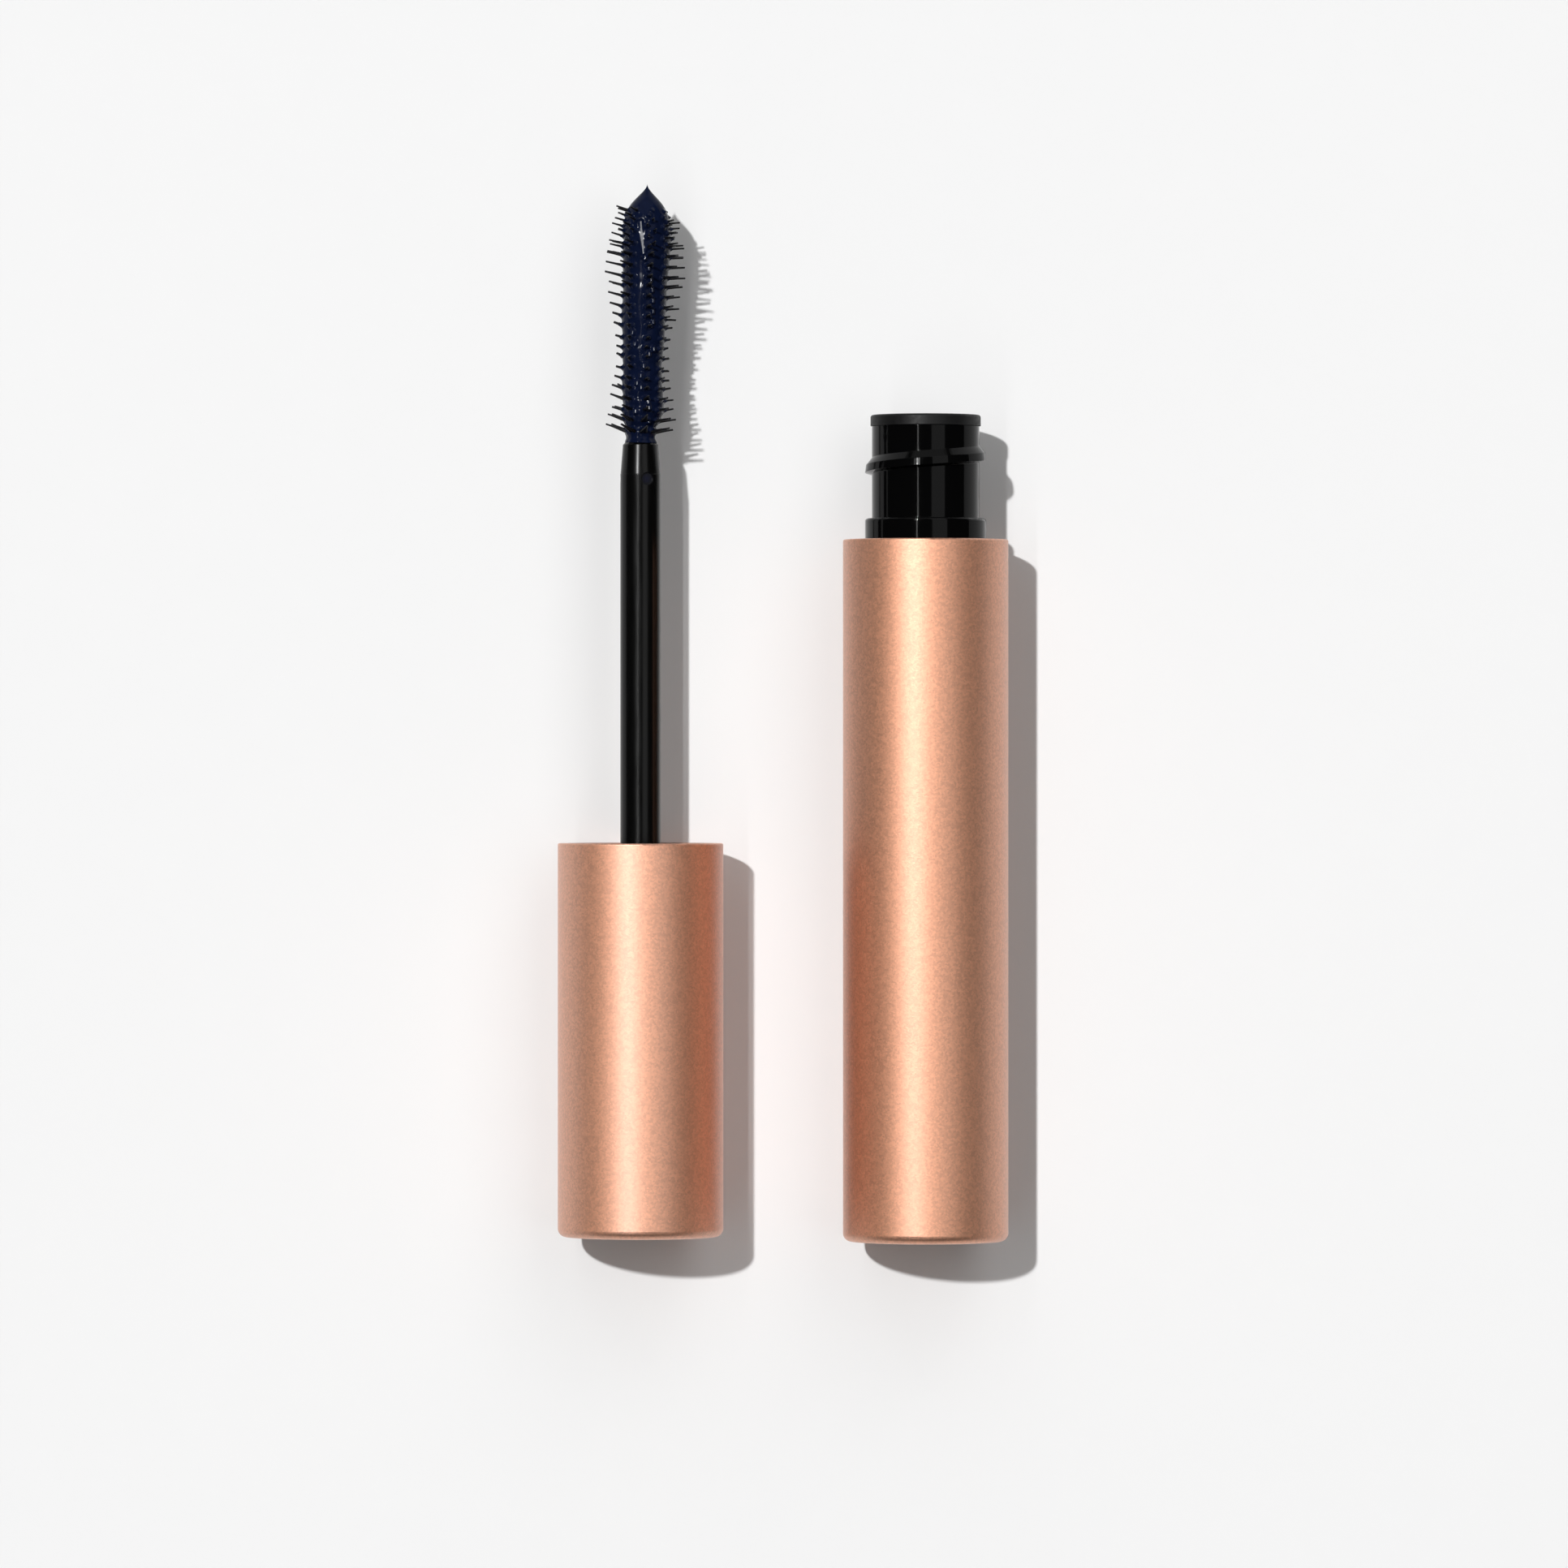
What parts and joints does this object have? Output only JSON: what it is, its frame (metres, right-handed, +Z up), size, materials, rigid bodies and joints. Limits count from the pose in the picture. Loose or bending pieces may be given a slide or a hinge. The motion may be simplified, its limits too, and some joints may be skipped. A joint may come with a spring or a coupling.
{
  "type": "mascara tube",
  "caption": "Open mascara pack lying flat: a sleeved tube with a threaded neck and wiper, and beside it the cap with its rod and a moulded brush loaded with paste",
  "frame": {"origin": "On the surface that the pack lies on, at the middle of its outline", "axes": "+Z up from that surface, +Y along the tube and the wand toward the neck and the brush, +X from the wand to the tube"},
  "size_m": [0.049, 0.115, 0.018],
  "materials": {
    "copper_shell": "satin",
    "black_gloss": "gloss",
    "wiper_rubber": "matte",
    "rod_black": "satin",
    "brush_black": "satin",
    "mascara_paste": "gloss"
  },
  "bodies": {
    "tube": {"tube_sleeve": "copper_shell", "inner_bottle": "black_gloss", "wiper": "wiper_rubber", "mascara_fill": "mascara_paste"},
    "seal": {"seal_washer": "wiper_rubber"},
    "wand": {"cap_shell": "copper_shell", "inner_cap": "black_gloss", "rod": "rod_black", "brush_core": "brush_black", "bristles": "brush_black", "mascara_coat": "mascara_paste"}
  },
  "joints": [
    {"name": "wand_slide", "type": "slide", "parent": "tube", "child": "seal", "axis": [0, 1, 0], "range_m": [0, 0.0852]},
    {"name": "wand_turn", "type": "hinge", "parent": "seal", "child": "wand", "pos_m": [-0.0155, 0, 0.009], "axis": [0, 1, 0], "range_deg": [0, 450]}
  ]
}
